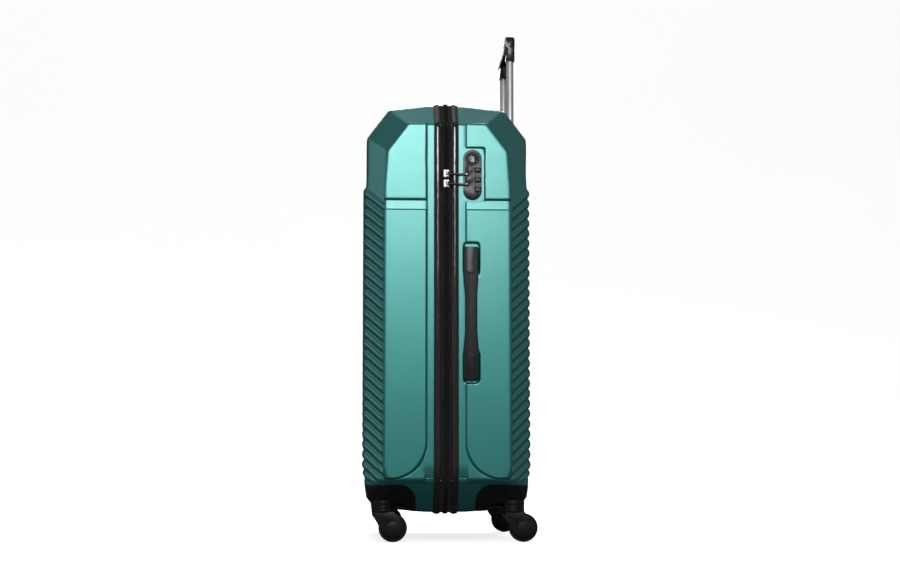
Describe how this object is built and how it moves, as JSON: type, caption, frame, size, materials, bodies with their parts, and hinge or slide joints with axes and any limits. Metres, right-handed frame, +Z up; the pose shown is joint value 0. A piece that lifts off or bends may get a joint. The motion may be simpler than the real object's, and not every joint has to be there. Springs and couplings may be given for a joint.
{
  "type": "hard shell suitcase on wheels",
  "caption": "Tall two-shell hard suitcase with zip, combination lock, side and top handles, telescopic trolley and swivel casters.",
  "frame": {"origin": "on the floor under the middle of the case", "axes": "+Z up, +X towards the trolley side, -Y towards the lock and the side handle, +Y towards the fabric hinge"},
  "size_m": [0.309, 0.5156, 0.9385],
  "materials": {
    "bracket": "black nylon bracket",
    "chrome_trim": "bright plated trim",
    "dial": "black dial with white numbers",
    "fork": "black moulded plastic",
    "guard": "black moulded plastic",
    "handle": "dark soft touch plastic",
    "handle_cap": "dark plastic inlay",
    "hub": "dark grey moulded plastic",
    "hub_cap": "black cap",
    "key": "plated key barrel",
    "lining": "grey polyester lining",
    "lock": "dark grey plastic, half gloss",
    "lock_steel": "steel",
    "piping": "glossy black vinyl piping",
    "screw": "zinc plated steel",
    "shell": "moulded ABS with a fine satin grain, metallic green",
    "strap": "black elastic webbing",
    "trolley_grip": "black plastic grip",
    "tube": "anodised aluminium tube",
    "tyre": "black polyurethane tread",
    "zip_metal": "nickel plated zinc",
    "zip_tape": "black woven zip tape with a nylon coil"
  },
  "bodies": {
    "back_half": {"back_shell": "shell", "back_piping": "piping", "back_zip_chain": "zip_tape", "guard_back_lock_side": "guard", "guard_back_hinge_side": "guard", "caster_screws_back": "screw", "trolley_outer_tubes": "tube", "trolley_lower_bracket": "bracket", "trolley_upper_bracket": "bracket", "trolley_bezel": "bracket", "lock_case": "lock", "lock_dial_shaft": "lock_steel", "side_handle_bases": "handle", "top_handle_bases": "handle", "back_lining": "lining", "packing_straps": "strap", "strap_buckle": "bracket", "fabric_hinge": "lining"},
    "lid": {"front_shell": "shell", "front_piping": "piping", "front_zip_chain": "zip_tape", "guard_front_lock_side": "guard", "guard_front_hinge_side": "guard", "caster_screws_front": "screw", "front_lining": "lining"},
    "trolley_stage": {"trolley_middle_tubes": "tube"},
    "trolley_handle": {"trolley_inner_tubes": "tube", "trolley_grip": "trolley_grip", "trolley_grip_trim": "chrome_trim"},
    "trolley_push_button": {"trolley_button": "trolley_grip", "trolley_push_rods": "lock_steel"},
    "side_handle": {"side_handle_grip": "handle", "side_handle_caps": "handle_cap"},
    "top_handle": {"top_handle_grip": "handle", "top_handle_caps": "handle_cap"},
    "release_button": {"lock_release_button": "lock"},
    "key_plug": {"lock_key_plug": "key"},
    "dial_1": {"lock_dial_1": "dial"},
    "dial_2": {"lock_dial_2": "dial"},
    "dial_3": {"lock_dial_3": "dial"},
    "slider_upper": {"zip_slider_upper": "zip_metal"},
    "puller_upper": {"zip_puller_upper": "zip_metal"},
    "slider_lower": {"zip_slider_lower": "zip_metal"},
    "puller_lower": {"zip_puller_lower": "zip_metal"},
    "fork_back_lock_side": {"caster_fork_back_lock_side": "fork", "wheel_axle_back_lock_side": "hub_cap"},
    "wheel_back_lock_side": {"wheel_hub_back_lock_side": "hub", "wheel_tyre_back_lock_side": "tyre"},
    "fork_back_hinge_side": {"caster_fork_back_hinge_side": "fork", "wheel_axle_back_hinge_side": "hub_cap"},
    "wheel_back_hinge_side": {"wheel_hub_back_hinge_side": "hub", "wheel_tyre_back_hinge_side": "tyre"},
    "fork_front_lock_side": {"caster_fork_front_lock_side": "fork", "wheel_axle_front_lock_side": "hub_cap"},
    "wheel_front_lock_side": {"wheel_hub_front_lock_side": "hub", "wheel_tyre_front_lock_side": "tyre"},
    "fork_front_hinge_side": {"caster_fork_front_hinge_side": "fork", "wheel_axle_front_hinge_side": "hub_cap"},
    "wheel_front_hinge_side": {"wheel_hub_front_hinge_side": "hub", "wheel_tyre_front_hinge_side": "tyre"}
  },
  "joints": [
    {"name": "lid_hinge", "type": "hinge", "parent": "back_half", "child": "lid", "pos_m": [0, 0.2539, 0.42], "axis": [0, 0, -1], "range_deg": [0, 180]},
    {"name": "trolley_stage_slide", "type": "slide", "parent": "back_half", "child": "trolley_stage", "axis": [0, 0, 1], "range_m": [0, 0.155]},
    {"name": "trolley_handle_slide", "type": "slide", "parent": "trolley_stage", "child": "trolley_handle", "axis": [0, 0, 1], "range_m": [-0.137, 0.012]},
    {"name": "trolley_button_push", "type": "slide", "parent": "trolley_handle", "child": "trolley_push_button", "axis": [0, 0, -1], "range_m": [0, 0.003], "stiffness_N_per_m": 500, "springref_m": -0.004},
    {"name": "side_handle_lift", "type": "slide", "parent": "back_half", "child": "side_handle", "axis": [0, -1, 0], "range_m": [0, 0.01], "stiffness_N_per_m": 300, "springref_m": -0.004},
    {"name": "top_handle_lift", "type": "slide", "parent": "back_half", "child": "top_handle", "axis": [0.1164, 0, 0.9932], "range_m": [0, 0.01], "stiffness_N_per_m": 300, "springref_m": -0.004},
    {"name": "lock_button_push", "type": "slide", "parent": "back_half", "child": "release_button", "axis": [0, 1, 0], "range_m": [0, 0.002], "stiffness_N_per_m": 300, "springref_m": -0.002},
    {"name": "key_turn", "type": "hinge", "parent": "release_button", "child": "key_plug", "pos_m": [0.0466, -0.248, 0.6714], "axis": [0, -1, 0], "range_deg": [0, 90]},
    {"name": "dial_1_turn", "type": "hinge", "parent": "back_half", "child": "dial_1", "pos_m": [0.0558, -0.2446, 0.6173], "axis": [0, 0, 1], "continuous": true},
    {"name": "dial_2_turn", "type": "hinge", "parent": "back_half", "child": "dial_2", "pos_m": [0.0558, -0.2446, 0.6349], "axis": [0, 0, 1], "continuous": true},
    {"name": "dial_3_turn", "type": "hinge", "parent": "back_half", "child": "dial_3", "pos_m": [0.0558, -0.2446, 0.6525], "axis": [0, 0, 1], "continuous": true},
    {"name": "slider_upper_run", "type": "slide", "parent": "back_half", "child": "slider_upper", "axis": [0, 0, 1], "range_m": [0, 0.075]},
    {"name": "puller_upper_swing", "type": "hinge", "parent": "slider_upper", "child": "puller_upper", "pos_m": [0.0015, -0.2585, 0.6448], "axis": [0, 0, -1], "range_deg": [0, 160]},
    {"name": "slider_lower_run", "type": "slide", "parent": "back_half", "child": "slider_lower", "axis": [0, 0, 1], "range_m": [-0.095, 0]},
    {"name": "puller_lower_swing", "type": "hinge", "parent": "slider_lower", "child": "puller_lower", "pos_m": [0.0015, -0.2585, 0.6269], "axis": [0, 0, -1], "range_deg": [0, 160]},
    {"name": "swivel_back_lock_side", "type": "hinge", "parent": "back_half", "child": "fork_back_lock_side", "pos_m": [0.12, -0.205, 0.05], "axis": [0, 0, 1], "continuous": true},
    {"name": "spin_back_lock_side", "type": "hinge", "parent": "fork_back_lock_side", "child": "wheel_back_lock_side", "pos_m": [0.1375, -0.205, 0.025], "axis": [0, 1, 0], "continuous": true},
    {"name": "swivel_back_hinge_side", "type": "hinge", "parent": "back_half", "child": "fork_back_hinge_side", "pos_m": [0.12, 0.205, 0.05], "axis": [0, 0, 1], "continuous": true},
    {"name": "spin_back_hinge_side", "type": "hinge", "parent": "fork_back_hinge_side", "child": "wheel_back_hinge_side", "pos_m": [0.1375, 0.205, 0.025], "axis": [0, 1, 0], "continuous": true},
    {"name": "swivel_front_lock_side", "type": "hinge", "parent": "lid", "child": "fork_front_lock_side", "pos_m": [-0.1095, -0.205, 0.05], "axis": [0, 0, 1], "continuous": true},
    {"name": "spin_front_lock_side", "type": "hinge", "parent": "fork_front_lock_side", "child": "wheel_front_lock_side", "pos_m": [-0.092, -0.205, 0.025], "axis": [0, 1, 0], "continuous": true},
    {"name": "swivel_front_hinge_side", "type": "hinge", "parent": "lid", "child": "fork_front_hinge_side", "pos_m": [-0.1095, 0.205, 0.05], "axis": [0, 0, 1], "continuous": true},
    {"name": "spin_front_hinge_side", "type": "hinge", "parent": "fork_front_hinge_side", "child": "wheel_front_hinge_side", "pos_m": [-0.092, 0.205, 0.025], "axis": [0, 1, 0], "continuous": true}
  ]
}
